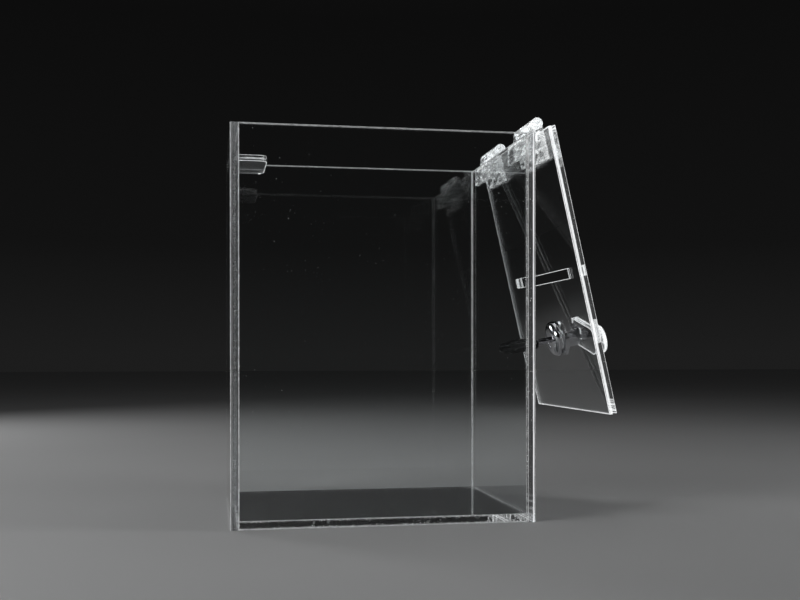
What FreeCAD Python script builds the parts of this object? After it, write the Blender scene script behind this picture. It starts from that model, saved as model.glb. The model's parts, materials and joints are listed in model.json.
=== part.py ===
"""Clear acrylic donation box with a hinged, lockable lid.

Frame: millimetres, +Z up, origin at the centre of the underside of the box, +X towards
the hinge side, -Y towards the front. Everything that swings with the lid is drawn with
the lid shut and then turned open about the hinge pin until the key rests on the wall.
"""
import FreeCAD, Part
import os
import Sketcher
from FreeCAD import Vector

doc = FreeCAD.newDocument("donation_box")

# ---------------------------------------------------------------- driving sizes
SIZES = {
    # the box
    "outer_width": 190, "outer_depth": 150, "wall_height": 245, "sheet_thick": 5,
    # the lid, set back from the outer faces of the walls
    "lid_hinge_setback": 0.5, "lid_free_setback": 2.5,
    "slot_long": 108, "slot_wide": 6.5, "slot_corner": 1,
    # the tongue that the cam hooks under
    "keeper_wide": 51, "keeper_thick": 4, "keeper_reach": 19.8, "keeper_corner": 6,
    "keeper_drop": 14.6,
    # the hinges: the pin stands pin_offset off the wall and pin_rise above the shut lid
    "pin_offset": 4, "pin_rise": 3.1, "pin_dia": 3, "pin_clear": 0.05, "knuckle_dia": 7.2,
    "leaf_thick": 3, "leaf_wide": 43, "leaf_inset": 9, "leaf_relief": 0.5,
    "leaf_round": 1, "wall_leaf_drop": 12, "lid_leaf_reach": 19, "knuckle_gap": 0.4,
    # the cam lock's housing
    "lock_from_edge": 51, "head_dia": 25, "head_rise": 4.6, "head_round": 4.2,
    "body_dia": 16, "body_flats": 13.5, "body_long": 18.9, "hole_clear": 0.2,
    "thread_pitch": 1.25, "thread_deep": 0.6, "thread_open": 1.1,
    "nut_across": 24, "nut_thick": 4, "nut_turn": 5,
    "tooth_dia": 21.5, "tooth_thick": 0.8,
    # the turning plug and what it carries
    "plug_dia": 10, "plug_head_dia": 12, "plug_head_thick": 1.2, "plug_recess": 0.4,
    "plug_clear": 0.05, "tail_square": 7, "stud_dia": 5.8, "stud_spare": 1.2,
    "turn_gap": 0.1, "stop_dia": 11.4, "stop_thick": 1, "tab_wide": 3, "tab_reach": 7.8,
    "lug_wide": 2.5, "lug_inner": 5.9, "lug_outer": 6.9, "lug_clear_turn": 1.5,
    "cam_wide": 19, "cam_thick": 5, "cam_reach": 33, "cam_heel": 9.5,
    "cam_corner": 1.5, "cam_turn": 90, "cam_rest": 15, "square_clear": 0.1,
    "ring_dia": 11.5, "ring_thick": 0.8, "cam_nut_across": 10, "cam_nut_thick": 3.4,
    "wafer_long": 8.8, "wafer_wide": 4.4, "wafer_thick": 0.8, "wafer_pitch": 2.4,
    "wafer_first": 2.5, "wafer_clear": 0.1,
    # the key
    "blade_wide": 7.4, "blade_thick": 2, "blade_insert": 16, "blade_clear": 0.15,
    "blade_show": 13.5, "blade_root": 9, "groove_wide": 1.6, "groove_deep": 0.5,
    "bow_wide": 22, "bow_long": 24.4, "bow_thick": 3.2, "bow_corner": 10,
    "bow_edge": 0.8, "bow_hole": 5, "bow_hole_in": 5.5, "key_rest_gap": 0.9,
}
WAFERS = 5

sizes = doc.addObject("Spreadsheet::Sheet", "Sizes")
for row, (alias, value) in enumerate(SIZES.items(), start=1):
    sizes.set(f"A{row}", str(value))
    sizes.setAlias(f"A{row}", alias)

# ------------------------------------------------- places worked out from the sizes
WORKED = {
    "lid_top": "Sizes.wall_height + Sizes.sheet_thick",
    "pin_across": "Sizes.outer_width / 2 + Sizes.pin_offset",
    "pin_up": "Sizes.wall_height + Sizes.sheet_thick + Sizes.pin_rise",
    "lid_long": "Sizes.outer_width - Sizes.lid_hinge_setback - Sizes.lid_free_setback",
    "lid_mid": "(Sizes.lid_free_setback - Sizes.lid_hinge_setback) / 2",
    "lock_across": "Sizes.lid_free_setback + Sizes.lock_from_edge - Sizes.outer_width / 2",
    "lock_arm": "pin_across - lock_across",
    # the key's tip stands this far off the pin's plane when it rests on the wall
    "key_stand": "Sizes.blade_show + Sizes.bow_long + Sizes.key_rest_gap - Sizes.pin_rise",
    "hang": "atan(key_stand / lock_arm) - asin(Sizes.pin_offset / sqrt(lock_arm^2 + key_stand^2))",
    "open_turn": "270 deg - hang",
    "body_end": "lid_top - Sizes.body_long",
    "thread_turns": "floor(Sizes.body_long / Sizes.thread_pitch) - 1",
    "stop_end": "body_end - Sizes.turn_gap - Sizes.stop_thick",
    "cam_end": "stop_end - Sizes.cam_thick",
    "ring_end": "cam_end - Sizes.ring_thick",
    "cam_nut_end": "ring_end - Sizes.cam_nut_thick",
    "stud_end": "cam_nut_end - Sizes.stud_spare",
    "plug_top": "lid_top + Sizes.head_rise - Sizes.plug_recess",
    "bow_foot": "lid_top + Sizes.blade_show",
    "bow_mid": "bow_foot + Sizes.bow_long / 2",
    "lug_turn": "asin(Sizes.tab_wide / 2 / Sizes.lug_inner)"
                " + asin(Sizes.lug_wide / 2 / Sizes.lug_inner)"
                " + Sizes.lug_clear_turn * 1 deg",
    "knuckle_long": "(Sizes.leaf_wide - Sizes.knuckle_gap) / 2",
}
worked = doc.addObject("Spreadsheet::Sheet", "Worked")
for row, (alias, formula) in enumerate(WORKED.items(), start=1):
    worked.set(f"A{row}", "=" + formula)
    worked.setAlias(f"A{row}", alias)
doc.recompute()

# Placements: the lid's group turns open about the pin; the plug's group is first set on
# the lock's axis and turned to where the key was left, cam_rest from its open stop.
LID = ("placement(vector(0; 0; 0); rotation(vector(0; 1; 0); Worked.open_turn);"
       " vector(Worked.pin_across; 0; Worked.pin_up))")
LOCK = LID + " * placement(vector(Worked.lock_across; 0; 0); rotation(vector(0; 0; 1); 0))"
PLUG = (LID + " * placement(vector(Worked.lock_across; 0; 0);"
        " rotation(vector(0; 0; 1); -Sizes.cam_rest))")

nodes = {}


def keep(name, shape_object, placement=None):
    """Name one physical piece of the box and put it in its place."""
    shape_object.Label = name
    if placement:
        shape_object.setExpression("Placement", placement)
    nodes[name] = shape_object
    return shape_object


# ---------------------------------------------------------- sketched features
def origin_plane(body, role):
    for feature in body.Origin.OriginFeatures:
        if feature.Role == role:
            return feature


def sketch(body, name, role="XY_Plane", x="0", y="0", z="0", turn="0"):
    """An empty sketch on one of the body's planes, moved and then turned about its origin."""
    drawing = body.newObject("Sketcher::SketchObject", name)
    drawing.AttachmentSupport = [(origin_plane(body, role), "")]
    drawing.MapMode = "FlatFace"
    drawing.setExpression(
        "AttachmentOffset",
        f"placement(vector(0; 0; 0); rotation(vector(0; 0; 1); {turn}))"
        f" * placement(vector({x}; {y}; {z}); rotation(vector(0; 0; 1); 0))")
    return drawing


def bound(drawing, kind, *where, size):
    """Add a dimension to a sketch and tie it to the sheet."""
    index = drawing.addConstraint(Sketcher.Constraint(kind, *where, 1.0))
    drawing.setExpression(f"Constraints[{index}]", size)


def rectangle(drawing, wide, tall):
    """A rectangle centred on the sketch's origin."""
    corners = [Vector(-3, -2, 0), Vector(3, -2, 0), Vector(3, 2, 0), Vector(-3, 2, 0)]
    for index in range(4):
        drawing.addGeometry(Part.LineSegment(corners[index], corners[(index + 1) % 4]))
    for index in range(4):
        drawing.addConstraint(
            Sketcher.Constraint("Coincident", index, 2, (index + 1) % 4, 1))
    for index, kind in enumerate(["Horizontal", "Vertical", "Horizontal", "Vertical"]):
        drawing.addConstraint(Sketcher.Constraint(kind, index))
    drawing.addConstraint(Sketcher.Constraint("Symmetric", 0, 1, 1, 2, -1, 1))
    bound(drawing, "DistanceX", 0, 1, 0, 2, size=wide)
    bound(drawing, "DistanceY", 1, 1, 1, 2, size=tall)


def disc(drawing, dia):
    """A circle centred on the sketch's origin."""
    drawing.addGeometry(Part.Circle(Vector(0, 0, 0), Vector(0, 0, 1), 4))
    drawing.addConstraint(Sketcher.Constraint("Coincident", 0, 3, -1, 1))
    bound(drawing, "Diameter", 0, size=dia)


def pad(body, drawing, name, length, mirrored=False, down=False):
    feature = body.newObject("PartDesign::Pad", name)
    feature.Profile = drawing
    feature.setExpression("Length", length)
    feature.Midplane = mirrored
    feature.Reversed = down
    drawing.Visibility = False
    return feature


def pocket(body, drawing, name, length, mirrored=False, up=False):
    """Cut a sketch into the body; the volume shows that it met the solid."""
    doc.recompute()
    before = body.Shape.Volume
    feature = body.newObject("PartDesign::Pocket", name)
    feature.Profile = drawing
    feature.setExpression("Length", length)
    feature.Midplane = mirrored
    feature.Reversed = up
    doc.recompute()
    if not body.Shape.Volume < before - 1e-6:
        raise RuntimeError(f"{name} cuts nothing")
    return feature


def edges_along(shape, direction, test=lambda middle: True):
    """Names of the straight edges that run one way and whose middles pass a test."""
    found = []
    for index, edge in enumerate(shape.Edges, start=1):
        if not isinstance(edge.Curve, Part.Line):
            continue
        along = (edge.Vertexes[1].Point - edge.Vertexes[0].Point).normalize()
        if abs(along.dot(direction)) > 0.999 and test(edge.CenterOfMass):
            found.append(f"Edge{index}")
    return found


def fillet(body, name, radius, pick):
    """Round the edges of the body's last feature that pick() finds."""
    doc.recompute()
    feature = body.newObject("PartDesign::Fillet", name)
    last = feature.BaseFeature if feature.BaseFeature else body.Tip
    feature.Base = (last, pick(last.Shape))
    feature.setExpression("Radius", radius)
    return feature


def slab(name, wide, deep, tall, x="0", y="0", z="0"):
    """A flat sheet or block, sawn square, standing on height z."""
    body = doc.addObject("PartDesign::Body", name + "_body")
    drawing = sketch(body, name + "_outline", x=x, y=y, z=z)
    rectangle(drawing, wide, deep)
    pad(body, drawing, name + "_pad", tall)
    return body


# ------------------------------------------------------------ primitive solids
def block(name, long, deep, tall, x="0", y="0", z="0"):
    """A box centred on x and y, standing on height z."""
    solid = doc.addObject("Part::Box", name)
    solid.setExpression("Length", long)
    solid.setExpression("Width", deep)
    solid.setExpression("Height", tall)
    solid.setExpression("Placement.Base.x", f"({x}) - ({long}) / 2")
    solid.setExpression("Placement.Base.y", f"({y}) - ({deep}) / 2")
    solid.setExpression("Placement.Base.z", z)
    return solid


def rod(name, dia, tall, x="0", y="0", z="0"):
    """An upright cylinder standing on height z."""
    solid = doc.addObject("Part::Cylinder", name)
    solid.setExpression("Radius", f"({dia}) / 2")
    solid.setExpression("Height", tall)
    solid.setExpression("Placement.Base.x", x)
    solid.setExpression("Placement.Base.y", y)
    solid.setExpression("Placement.Base.z", z)
    return solid


def hexagon(name, across, tall, z="0", turn="0"):
    """An upright hexagonal prism, measured across its flats."""
    solid = doc.addObject("Part::Prism", name)
    solid.Polygon = 6
    solid.setExpression("Circumradius", f"({across}) / 2 / cos(30 deg)")
    solid.setExpression("Height", tall)
    solid.setExpression("Placement", f"placement(vector(0; 0; {z});"
                                     f" rotation(vector(0; 0; 1); {turn}))")
    return solid


def cut(name, base, tool):
    solid = doc.addObject("Part::Cut", name)
    solid.Base = base
    solid.Tool = tool
    return solid


def joined(name, *solids):
    solid = doc.addObject("Part::MultiFuse", name)
    solid.Shapes = list(solids)
    solid.Refine = True
    return solid


def common(name, first, second):
    solid = doc.addObject("Part::MultiCommon", name)
    solid.Shapes = [first, second]
    return solid


# ---------------------------------------------------------------- the box
INNER_WIDTH = "Sizes.outer_width - 2 * Sizes.sheet_thick"
INNER_DEPTH = "Sizes.outer_depth - 2 * Sizes.sheet_thick"


def make_box():
    """Two full side panels, with the front, the back and the base set between them."""
    side_x = "(Sizes.outer_width - Sizes.sheet_thick) / 2"
    face_y = "(Sizes.outer_depth - Sizes.sheet_thick) / 2"
    for name, sign in (("left_panel", "-1"), ("right_panel", "1")):
        keep(name, slab(name, "Sizes.sheet_thick", "Sizes.outer_depth",
                        "Sizes.wall_height", x=f"{sign} * {side_x}"))
    for name, sign in (("front_panel", "-1"), ("back_panel", "1")):
        keep(name, slab(name, INNER_WIDTH, "Sizes.sheet_thick",
                        "Sizes.wall_height", y=f"{sign} * {face_y}"))
    keep("base_panel", slab("base_panel", INNER_WIDTH, INNER_DEPTH, "Sizes.sheet_thick"))


def make_keeper():
    """The tongue on the left wall's inner face, with its free corners rounded."""
    wall = "Sizes.sheet_thick - Sizes.outer_width / 2"
    body = slab("keeper", "Sizes.keeper_reach", "Sizes.keeper_wide", "Sizes.keeper_thick",
                x=f"{wall} + Sizes.keeper_reach / 2",
                z="Sizes.wall_height - Sizes.keeper_drop")
    middle = (SIZES["sheet_thick"] - SIZES["outer_width"] / 2 + SIZES["keeper_reach"] / 2)
    fillet(body, "keeper_corners", "Sizes.keeper_corner",
           lambda shape: edges_along(shape, Vector(0, 0, 1), lambda at: at.x > middle))
    keep("latch_keeper", body)


# ---------------------------------------------------------------- the hinges
def make_leaf(name, centre, swings):
    """One moulded leaf: a plate, a strap up to the pin and half of the knuckle.

    Drawn hanging from the pin's axis against the wall, with its knuckle at the rear.
    The lid's leaf is laid over on the lid and so comes round with its knuckle in front.
    """
    edge = "(Sizes.pin_offset + Sizes.leaf_relief)"
    plate = f"(Sizes.wall_leaf_drop + Sizes.sheet_thick + Sizes.pin_rise - {edge})"
    off = "Sizes.pin_offset"
    hole = "Sizes.pin_dia"
    seat = (f"placement(vector(Worked.pin_across; {centre}; Worked.pin_up);"
            " rotation(vector(0; 0; 1); 0))")
    if swings:
        plate = "Sizes.lid_leaf_reach"
        off = "Sizes.pin_rise"
        hole = "Sizes.pin_dia + 2 * Sizes.pin_clear"
        seat = (f"{LID} * placement(vector(Worked.pin_across; {centre}; Worked.pin_up);"
                " rotation(vector(0; 1; 0); 90 deg))"
                " * placement(vector(0; 0; 0); rotation(vector(0; 0; 1); 180 deg))")
    middle = f"Sizes.leaf_thick / 2 - {off}"
    half = "(Sizes.leaf_wide - Worked.knuckle_long) / 2"
    body = doc.addObject("PartDesign::Body", name + "_body")
    drawing = sketch(body, name + "_plate", x=middle, z=f"-{edge} - {plate}")
    rectangle(drawing, "Sizes.leaf_thick", "Sizes.leaf_wide")
    pad(body, drawing, name + "_plate_pad", plate)
    strap = sketch(body, name + "_strap", x=middle, y=half,
                   z=f"-{edge} - Sizes.leaf_relief")
    rectangle(strap, "Sizes.leaf_thick", "Worked.knuckle_long")
    pad(body, strap, name + "_strap_pad", f"{edge} + Sizes.leaf_relief")
    barrel = sketch(body, name + "_barrel", role="XZ_Plane", z=f"-{half}")
    disc(barrel, "Sizes.knuckle_dia")
    pad(body, barrel, name + "_barrel_pad", "Worked.knuckle_long", mirrored=True)
    bore = sketch(body, name + "_bore", role="XZ_Plane")
    disc(bore, hole)
    pocket(body, bore, name + "_bore_pocket", "Sizes.leaf_wide * 2", mirrored=True)
    outer = SIZES["leaf_thick"] - SIZES["pin_rise" if swings else "pin_offset"]
    fillet(body, name + "_rounds", "Sizes.leaf_round",
           lambda shape: leaf_outer_edges(shape, outer))
    keep(name, body, seat)


def leaf_outer_edges(shape, face):
    """The plate's free edge and its two sides, on the face away from the sheet."""
    outer = face - 0.01
    side = SIZES["leaf_wide"] / 2 - 0.01
    low = shape.BoundBox.ZMin + 0.01
    return (edges_along(shape, Vector(0, 1, 0), lambda at: at.x > outer and at.z < low)
            + edges_along(shape, Vector(0, 0, 1),
                          lambda at: at.x > outer and abs(at.y) > side))


def make_pin(name, centre):
    """The pin fills the wall leaf's knuckle and runs through the lid leaf's."""
    pin = doc.addObject("Part::Cylinder", name + "_rod")
    pin.setExpression("Radius", "Sizes.pin_dia / 2")
    pin.setExpression("Height", "Sizes.leaf_wide")
    keep(name, pin, f"placement(vector(Worked.pin_across; {centre} + Sizes.leaf_wide / 2;"
                    " Worked.pin_up); rotation(vector(1; 0; 0); 90 deg))")


def make_hinges():
    """Two equal hinges, each with the lid's knuckle in front of the wall's."""
    reach = "(Sizes.outer_depth / 2 - Sizes.leaf_inset - Sizes.leaf_wide / 2)"
    for place, sign in (("front", "-1"), ("rear", "1")):
        centre = f"{sign} * {reach}"
        make_leaf(f"{place}_hinge_wall_leaf", centre, swings=False)
        make_leaf(f"{place}_hinge_lid_leaf", centre, swings=True)
        make_pin(f"{place}_hinge_pin", centre)


# ---------------------------------------------------------------- the lid
def make_lid():
    """The lid's sheet, with the coin slot and the lock's double-D hole."""
    sheet = block("lid_sheet", "Worked.lid_long", "Sizes.outer_depth", "Sizes.sheet_thick",
                  x="Worked.lid_mid", z="Sizes.wall_height")
    tall = "Sizes.sheet_thick * 3"
    low = "Sizes.wall_height - Sizes.sheet_thick"
    slot = doc.addObject("PartDesign::Body", "slot_body")
    drawing = sketch(slot, "slot_outline", x="Worked.lid_mid", z=low)
    rectangle(drawing, "Sizes.slot_wide", "Sizes.slot_long")
    pad(slot, drawing, "slot_pad", tall)
    fillet(slot, "slot_corners", "Sizes.slot_corner",
           lambda shape: edges_along(shape, Vector(0, 0, 1)))
    bore = rod("lock_hole_bore", "Sizes.body_dia + 2 * Sizes.hole_clear", tall,
               x="Worked.lock_across", z=low)
    flats = block("lock_hole_flats", "Sizes.body_dia * 2",
                  "Sizes.body_flats + 2 * Sizes.hole_clear", tall,
                  x="Worked.lock_across", z=low)
    hole = common("lock_hole", bore, flats)
    keep("lid_panel", cut("lid_cut", sheet, joined("lid_tools", slot, hole)), LID)


# ---------------------------------------------------------------- the lock
def make_housing():
    """The lock's fixed shell: domed head, threaded body with two flats, stop lugs."""
    body = doc.addObject("PartDesign::Body", "housing_body")
    head = sketch(body, "head_outline", z="Worked.lid_top")
    disc(head, "Sizes.head_dia")
    pad(body, head, "head_pad", "Sizes.head_rise")
    fillet(body, "head_dome", "Sizes.head_round",
           lambda shape: [f"Edge{index}" for index, edge in enumerate(shape.Edges, 1)
                          if not isinstance(edge.Curve, Part.Line)
                          and edge.CenterOfMass.z > SIZES["wall_height"]
                          + SIZES["sheet_thick"] + SIZES["head_rise"] / 2])
    shank = sketch(body, "shank_outline", z="Worked.lid_top")
    disc(shank, "Sizes.body_dia")
    pad(body, shank, "shank_pad", "Sizes.body_long", down=True)
    make_thread(body)
    for side in ("1", "-1"):
        spare = "(Sizes.body_dia - Sizes.body_flats)"
        flat = sketch(body, f"flat_{'front' if side == '-1' else 'back'}",
                      y=f"{side} * (Sizes.body_flats / 2 + {spare} / 2)",
                      z="Worked.lid_top")
        rectangle(flat, "Sizes.body_dia * 2", spare)
        pocket(body, flat, flat.Name + "_pocket", "Sizes.body_long")
    for limit, start, away in (("open", "0", "-1"), ("shut", "-Sizes.cam_turn", "1")):
        # the tab leaves its open stop at the cam's own turn and ends a quarter turn on
        lug = sketch(body, f"lug_{limit}", z="Worked.body_end",
                     y="-(Sizes.lug_inner + Sizes.lug_outer) / 2",
                     turn=f"{start} * 1 deg - {away} * Worked.lug_turn")
        rectangle(lug, "Sizes.lug_wide", "Sizes.lug_outer - Sizes.lug_inner")
        pad(body, lug, f"lug_{limit}_pad", "Sizes.stop_thick", down=True)
    bore = sketch(body, "bore_outline", z="Worked.body_end - Sizes.stop_thick * 2")
    disc(bore, "Sizes.plug_dia + 2 * Sizes.plug_clear")
    pocket(body, bore, "bore_pocket", "Sizes.body_long * 3", up=True)
    face = sketch(body, "face_outline", z="Worked.lid_top + Sizes.head_rise")
    disc(face, "Sizes.plug_head_dia + 2 * Sizes.plug_clear")
    pocket(body, face, "face_pocket", "Sizes.plug_recess + Sizes.plug_head_thick")
    keep("lock_housing", body, LOCK)


def make_thread(body):
    """Ring grooves cut round the shank, one thread_pitch apart."""
    doc.recompute()
    before = body.Shape.Volume
    drawing = sketch(body, "thread_section", role="XZ_Plane", x="Sizes.body_dia / 2",
                     y="Worked.body_end + Sizes.thread_pitch * 0.75")
    points = [Vector(-1, 0, 0), Vector(1, 0.5, 0), Vector(1, -0.5, 0)]
    for index in range(3):
        drawing.addGeometry(Part.LineSegment(points[index], points[(index + 1) % 3]))
    for index in range(3):
        drawing.addConstraint(
            Sketcher.Constraint("Coincident", index, 2, (index + 1) % 3, 1))
    drawing.addConstraint(Sketcher.Constraint("Symmetric", 0, 2, 1, 2, -1))
    drawing.addConstraint(Sketcher.Constraint("PointOnObject", 0, 1, -1))
    bound(drawing, "DistanceX", 0, 1, -1, 1, size="Sizes.thread_deep")
    bound(drawing, "DistanceX", -1, 1, 0, 2, size="Sizes.thread_deep / 2")
    bound(drawing, "DistanceY", 1, 2, 0, 2, size="Sizes.thread_open")
    groove = body.newObject("PartDesign::Groove", "thread_groove")
    groove.Profile = drawing
    for feature in body.Origin.OriginFeatures:
        if feature.Role == "Z_Axis":
            groove.ReferenceAxis = (feature, [""])
    groove.Angle = 360
    doc.recompute()
    if not body.Shape.Volume < before - 1e-6:
        raise RuntimeError("the thread cuts nothing")
    rings = body.newObject("PartDesign::LinearPattern", "thread_rings")
    rings.Originals = [groove]
    for feature in body.Origin.OriginFeatures:
        if feature.Role == "Z_Axis":
            rings.Direction = (feature, [""])
    rings.setExpression("Occurrences", "Worked.thread_turns")
    rings.setExpression("Length", "(Worked.thread_turns - 1) * Sizes.thread_pitch")
    body.Tip = rings


def make_nut_and_washer():
    """What clamps the housing to the lid: a toothed washer and a large flat nut."""
    hole = "Sizes.body_dia + 2 * Sizes.hole_clear"
    top = "Sizes.wall_height"
    washer = cut("tooth_cut",
                 rod("tooth_disc", "Sizes.tooth_dia", "Sizes.tooth_thick",
                     z=f"{top} - Sizes.tooth_thick"),
                 rod("tooth_hole", hole, "Sizes.sheet_thick * 2",
                     z=f"{top} - Sizes.sheet_thick"))
    keep("lock_washer", washer, LOCK)
    nut_end = f"{top} - Sizes.tooth_thick - Sizes.nut_thick"
    nut = cut("nut_cut",
              hexagon("nut_blank", "Sizes.nut_across", "Sizes.nut_thick", z=nut_end,
                      turn="-90 deg - Sizes.nut_turn * 1 deg"),
              rod("nut_hole", hole, "Sizes.nut_thick * 3",
                  z=f"{nut_end} - Sizes.nut_thick"))
    keep("lock_nut", nut, LOCK)


def make_plug():
    """The turning plug: face, core with keyway and wafer slots, square tail and stud."""
    core_end = "Worked.body_end - Sizes.turn_gap"
    face = rod("plug_face", "Sizes.plug_head_dia", "Sizes.plug_head_thick",
               z="Worked.plug_top - Sizes.plug_head_thick")
    core = rod("plug_core", "Sizes.plug_dia", f"Worked.plug_top - ({core_end})",
               z=core_end)
    tail = block("plug_tail", "Sizes.tail_square", "Sizes.tail_square",
                 f"{core_end} - Worked.cam_end", z="Worked.cam_end")
    stud = rod("plug_stud", "Sizes.stud_dia", f"{core_end} - Worked.stud_end",
               z="Worked.stud_end")
    solid = joined("plug_solid", face, core, tail, stud)
    depth = "Sizes.blade_insert + 1 + Sizes.head_rise - Sizes.plug_recess"
    keyway = block("plug_keyway", "Sizes.blade_thick + 2 * Sizes.blade_clear",
                   "Sizes.blade_wide + 2 * Sizes.blade_clear", f"{depth} + 5",
                   z=f"Worked.plug_top - ({depth})")
    slots = [block(f"wafer_slot_{number}", "Sizes.wafer_wide + 2 * Sizes.wafer_clear",
                   "Sizes.wafer_long + 2 * Sizes.wafer_clear",
                   "Sizes.wafer_thick + 2 * Sizes.wafer_clear",
                   z=f"{wafer_level(number)} - Sizes.wafer_clear")
             for number in range(WAFERS)]
    keep("lock_plug", cut("plug_cut", solid, joined("plug_tools", keyway, *slots)), PLUG)


def wafer_level(number):
    """Underside of one wafer, counted from the front of the plug."""
    return (f"Worked.lid_top - Sizes.wafer_first - {number} * Sizes.wafer_pitch"
            " - Sizes.wafer_thick")


def make_wafers():
    """Thin sprung plates inside the plug, drawn in by the key that stands in them."""
    plates = []
    for number in range(WAFERS):
        level = wafer_level(number)
        plate = block(f"wafer_plate_{number}", "Sizes.wafer_wide", "Sizes.wafer_long",
                      "Sizes.wafer_thick", z=level)
        window = block(f"wafer_window_{number}",
                       "Sizes.blade_thick + 2 * Sizes.blade_clear",
                       "Sizes.blade_wide + 2 * Sizes.blade_clear",
                       "Sizes.wafer_thick * 3", z=f"{level} - Sizes.wafer_thick")
        plates.append(cut(f"wafer_{number}", plate, window))
    group = doc.addObject("Part::Compound", "wafer_group")
    group.Links = plates
    keep("lock_wafers", group, PLUG)


def make_cam_stack():
    """Stop washer, clear cam, spring washer and nut, threaded on the plug's tail."""
    square = "Sizes.tail_square + 2 * Sizes.square_clear"
    stop_disc = rod("stop_disc", "Sizes.stop_dia", "Sizes.stop_thick",
                    z="Worked.stop_end")
    tab = block("stop_tab", "Sizes.tab_wide", "Sizes.tab_reach", "Sizes.stop_thick",
                y="-Sizes.tab_reach / 2", z="Worked.stop_end")
    stop_hole = block("stop_hole", square, square, "Sizes.stop_thick * 3",
                      z="Worked.stop_end - Sizes.stop_thick")
    keep("cam_stop_washer",
         cut("stop_cut", joined("stop_solid", stop_disc, tab), stop_hole), PLUG)

    body = doc.addObject("PartDesign::Body", "cam_body")
    straight = "(Sizes.cam_heel + Sizes.cam_reach - Sizes.cam_wide / 2)"
    bar = sketch(body, "cam_bar", y=f"Sizes.cam_heel - {straight} / 2", z="Worked.cam_end")
    rectangle(bar, "Sizes.cam_wide", straight)
    pad(body, bar, "cam_bar_pad", "Sizes.cam_thick")
    tip = sketch(body, "cam_tip", y="Sizes.cam_wide / 2 - Sizes.cam_reach",
                 z="Worked.cam_end")
    disc(tip, "Sizes.cam_wide")
    pad(body, tip, "cam_tip_pad", "Sizes.cam_thick")
    heel = SIZES["cam_heel"] * 0.9
    fillet(body, "cam_heel_corners", "Sizes.cam_corner",
           lambda shape: edges_along(shape, Vector(0, 0, 1), lambda at: at.y > heel))
    hole = sketch(body, "cam_hole", z="Worked.cam_end")
    rectangle(hole, square, square)
    pocket(body, hole, "cam_hole_pocket", "Sizes.cam_thick", up=True)
    keep("lock_cam", body, PLUG)

    ring_hole = "Sizes.stud_dia + 2 * Sizes.square_clear"
    spring = cut("ring_cut",
                 rod("ring_disc", "Sizes.ring_dia", "Sizes.ring_thick",
                     z="Worked.ring_end"),
                 rod("ring_hole", ring_hole, "Sizes.ring_thick * 3",
                     z="Worked.ring_end - Sizes.ring_thick"))
    keep("cam_spring_washer", spring, PLUG)
    nut = cut("cam_nut_cut",
              hexagon("cam_nut_blank", "Sizes.cam_nut_across", "Sizes.cam_nut_thick",
                      z="Worked.cam_nut_end"),
              rod("cam_nut_hole", ring_hole, "Sizes.cam_nut_thick * 3",
                  z="Worked.cam_nut_end - Sizes.cam_nut_thick"))
    keep("cam_nut", nut, PLUG)


# ---------------------------------------------------------------- the key
def make_key():
    """A flat steel blade with a plastic bow moulded over its root."""
    foot = "Worked.lid_top - Sizes.blade_insert"
    blade = block("blade_blank", "Sizes.blade_thick", "Sizes.blade_wide",
                  "Sizes.blade_insert + Sizes.blade_show + Sizes.blade_root", z=foot)
    grooves = [block(f"blade_groove_{side}", "Sizes.groove_deep * 2", "Sizes.groove_wide",
                     "Sizes.blade_insert + Sizes.blade_show",
                     x=f"{sign} * Sizes.blade_thick / 2",
                     y=f"{sign} * Sizes.blade_wide / 6", z=foot)
               for side, sign in (("left", "-1"), ("right", "1"))]
    keep("key_blade", cut("blade_cut", blade, joined("blade_tools", *grooves)), PLUG)

    body = doc.addObject("PartDesign::Body", "bow_body")
    outline = sketch(body, "bow_outline", role="YZ_Plane", y="Worked.bow_mid")
    rectangle(outline, "Sizes.bow_wide", "Sizes.bow_long")
    pad(body, outline, "bow_pad", "Sizes.bow_thick", mirrored=True)
    fillet(body, "bow_corners", "Sizes.bow_corner",
           lambda shape: edges_along(shape, Vector(1, 0, 0)))
    fillet(body, "bow_edges", "Sizes.bow_edge",
           lambda shape: [f"Edge{index}" for index, edge in enumerate(shape.Edges, 1)
                          if abs(edge.CenterOfMass.x) > SIZES["bow_thick"] * 0.49])
    ring = sketch(body, "bow_ring", role="YZ_Plane",
                  y="Worked.bow_mid + Sizes.bow_long / 2 - Sizes.bow_hole_in")
    disc(ring, "Sizes.bow_hole")
    pocket(body, ring, "bow_ring_pocket", "Sizes.bow_thick * 2", mirrored=True)
    root = sketch(body, "bow_root", z="Worked.bow_foot")
    rectangle(root, "Sizes.blade_thick", "Sizes.blade_wide")
    pocket(body, root, "bow_root_pocket", "Sizes.blade_root", up=True)
    keep("key_bow", body, PLUG)


make_box()
make_keeper()
make_hinges()
make_lid()
make_housing()
make_nut_and_washer()
make_plug()
make_wafers()
make_cam_stack()
make_key()
doc.recompute()

# ------------------------------------------------------------- check and write
for item in doc.Objects:
    if "Invalid" in item.State or "Error" in item.State:
        raise RuntimeError(f"{item.Name} failed: {item.State}")
os.makedirs("parts", exist_ok=True)
for name, item in nodes.items():
    shape = item.Shape
    if shape.isNull() or not shape.isValid():
        raise RuntimeError(f"{name} has no valid shape")
    shape.exportStep(f"parts/{name}.step")
    box = shape.BoundBox
    print(f"{name:24s} solids {len(shape.Solids)}  volume {shape.Volume:10.1f}  "
          f"x {box.XMin:7.1f} {box.XMax:7.1f}  y {box.YMin:6.1f} {box.YMax:6.1f}  "
          f"z {box.ZMin:6.1f} {box.ZMax:6.1f}")
print("lid hangs", worked.hang, "off upright; opens", worked.open_turn)
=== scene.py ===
# %% [markdown]
# # A clear acrylic donation box
#
# The real object is a money box of clear acrylic sheet. Five sheets are welded with
# solvent into an open box, and a sixth is the lid, which hangs open on two moulded hinges
# and carries a coin slot and a chromed cam lock with its key. Almost nothing of it has a
# colour: what the eye reads are the arrises, the sawn edges, the welds and the metal.
# So this lesson is mostly about edges, and about clear materials that stay readable.

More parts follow.
